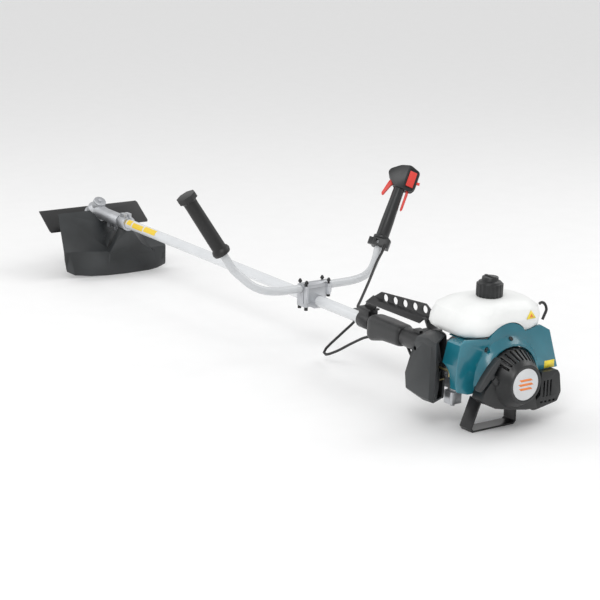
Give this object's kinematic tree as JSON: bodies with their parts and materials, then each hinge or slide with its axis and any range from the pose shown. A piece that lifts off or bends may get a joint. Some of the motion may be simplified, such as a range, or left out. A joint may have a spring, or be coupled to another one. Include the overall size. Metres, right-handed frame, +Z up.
{
  "type": "brush cutter",
  "caption": "Petrol brush cutter: engine with recoil starter and tank, straight shaft with handlebar, bevel gear head, blade and guard; it rests on its engine stand and guard.",
  "frame": {"origin": "on the floor, under the crank axis, in the middle of the sole of the engine stand", "axes": "+X forward along the shaft to the blade, +Y to the operator's left, +Z up"},
  "size_m": [1.8298, 0.6599, 0.4067],
  "materials": {
    "white_paint": "gloss white paint",
    "black_paint": "satin black paint",
    "teal_plastic": "glossy teal moulded plastic",
    "black_plastic": "black moulded plastic",
    "grey_plastic": "dark grey moulded plastic",
    "red_plastic": "red moulded plastic",
    "tank_plastic": "white translucent plastic",
    "cast_aluminium": "die-cast aluminium",
    "steel": "machined steel",
    "zinc": "yellow zinc plated steel",
    "foam": "filter foam",
    "rope": "braided cord",
    "leatherette": "black padded leatherette",
    "rubber": "black rubber"
  },
  "bodies": {
    "machine": {"main_tube": "white_paint", "shaft_bush_rear": "rubber", "shaft_bush_front": "rubber", "gear_case": "cast_aluminium", "gear_case_cap": "cast_aluminium", "guard": "grey_plastic", "guard_bracket": "cast_aluminium", "handlebar": "white_paint", "clamp_lower": "cast_aluminium", "clamp_middle": "cast_aluminium", "clamp_cap": "cast_aluminium", "clamp_bolt_1": "black_paint", "clamp_bolt_2": "black_paint", "clamp_bolt_3": "black_paint", "clamp_bolt_4": "black_paint", "left_grip": "rubber", "control_grip": "black_plastic", "throttle_cable": "rubber", "cable_clip": "black_plastic", "hanger_bracket": "black_paint", "bracket_collar": "black_paint", "hip_pad": "leatherette", "clutch_housing": "black_plastic", "crankcase": "cast_aluminium", "cylinder": "cast_aluminium", "piston": "cast_aluminium", "spark_plug": "rubber", "carburettor": "cast_aluminium", "float_bowl": "cast_aluminium", "air_filter_cover": "grey_plastic", "air_filter_base": "black_plastic", "air_filter_element": "foam", "engine_cover": "teal_plastic", "fuel_tank": "tank_plastic", "tank_vent_hose": "rubber", "muffler_cover": "black_plastic", "muffler": "steel", "starter_housing": "black_plastic", "engine_stand": "black_paint"},
    "cutter": {"blade": "black_paint", "blade_holder": "steel", "blade_cup": "steel", "blade_nut": "zinc", "output_shaft": "steel", "driven_gear": "steel"},
    "drive_line": {"drive_shaft": "steel", "pinion": "steel", "clutch_drum": "steel"},
    "crank": {"crankshaft": "steel", "flywheel": "cast_aluminium", "clutch_shoes": "steel"},
    "pulley": {"starter_pulley": "black_plastic"},
    "pull_grip": {"starter_handle": "grey_plastic", "starter_rope": "rope"},
    "trigger": {"throttle_trigger": "red_plastic"},
    "lockout": {"lockout_lever": "red_plastic"},
    "switch": {"stop_switch": "red_plastic"},
    "button": {"half_throttle_button": "red_plastic"},
    "choke": {"choke_lever": "zinc"},
    "cap": {"fuel_cap": "black_plastic"}
  },
  "joints": [
    {"name": "output_spin", "type": "hinge", "parent": "machine", "child": "cutter", "pos_m": [1.70362, 0, 0.13962], "axis": [-0.5764, 0, 0.8171], "continuous": true},
    {"name": "drive_spin", "type": "hinge", "parent": "machine", "child": "drive_line", "pos_m": [0.90898, 0, 0.13661], "axis": [0.9996, 0, 0.0284], "continuous": true},
    {"name": "crank_spin", "type": "hinge", "parent": "machine", "child": "crank", "pos_m": [0.00935, 0, 0.11101], "axis": [0.9996, 0, 0.0284], "continuous": true},
    {"name": "starter_pull", "type": "slide", "parent": "machine", "child": "pull_grip", "axis": [-0.0183, 0.766, 0.6425], "range_m": [0, 0.7], "stiffness_N_per_m": 25, "springref_m": -0.25, "deforming": ["starter_rope"]},
    {"name": "starter_pulley_turn", "type": "hinge", "parent": "machine", "child": "pulley", "pos_m": [-0.06262, 0, 0.10896], "axis": [0.9996, 0, 0.0284], "range_deg": [0, 1365]},
    {"name": "throttle_trigger", "type": "hinge", "parent": "machine", "child": "trigger", "pos_m": [0.71193, -0.2773, 0.36888], "axis": [-0.6722, 0.5744, 0.4671], "range_deg": [0, 16], "stiffness_Nm_per_rad": 0.5, "springref_deg": -17.19},
    {"name": "lockout_lever", "type": "hinge", "parent": "machine", "child": "lockout", "pos_m": [0.68239, -0.29528, 0.34846], "axis": [0.6722, -0.5744, -0.4671], "range_deg": [0, 5], "stiffness_Nm_per_rad": 0.6, "springref_deg": -14.32},
    {"name": "stop_switch", "type": "slide", "parent": "machine", "child": "switch", "axis": [0.1598, -0.5035, 0.8491], "range_m": [0, 0.0045]},
    {"name": "half_throttle_button", "type": "slide", "parent": "machine", "child": "button", "axis": [0.7229, 0.6454, 0.2467], "range_m": [0, 0.004], "stiffness_N_per_m": 500, "springref_m": -0.003},
    {"name": "choke_lever", "type": "hinge", "parent": "machine", "child": "choke", "pos_m": [0.04512, 0.117, 0.10202], "axis": [0, 1, 0], "range_deg": [0, 12]},
    {"name": "fuel_cap", "type": "hinge", "parent": "machine", "child": "cap", "pos_m": [0.0285, 0, 0.28162], "axis": [-0.0284, 0, 0.9996], "range_deg": [0, 540]}
  ],
  "couplings": [
    {"joint": "drive_spin", "follows": "output_spin", "ratio": 1.3571},
    {"joint": "starter_pulley_turn", "follows": "starter_pull", "rad_per_m": 33.9}
  ]
}
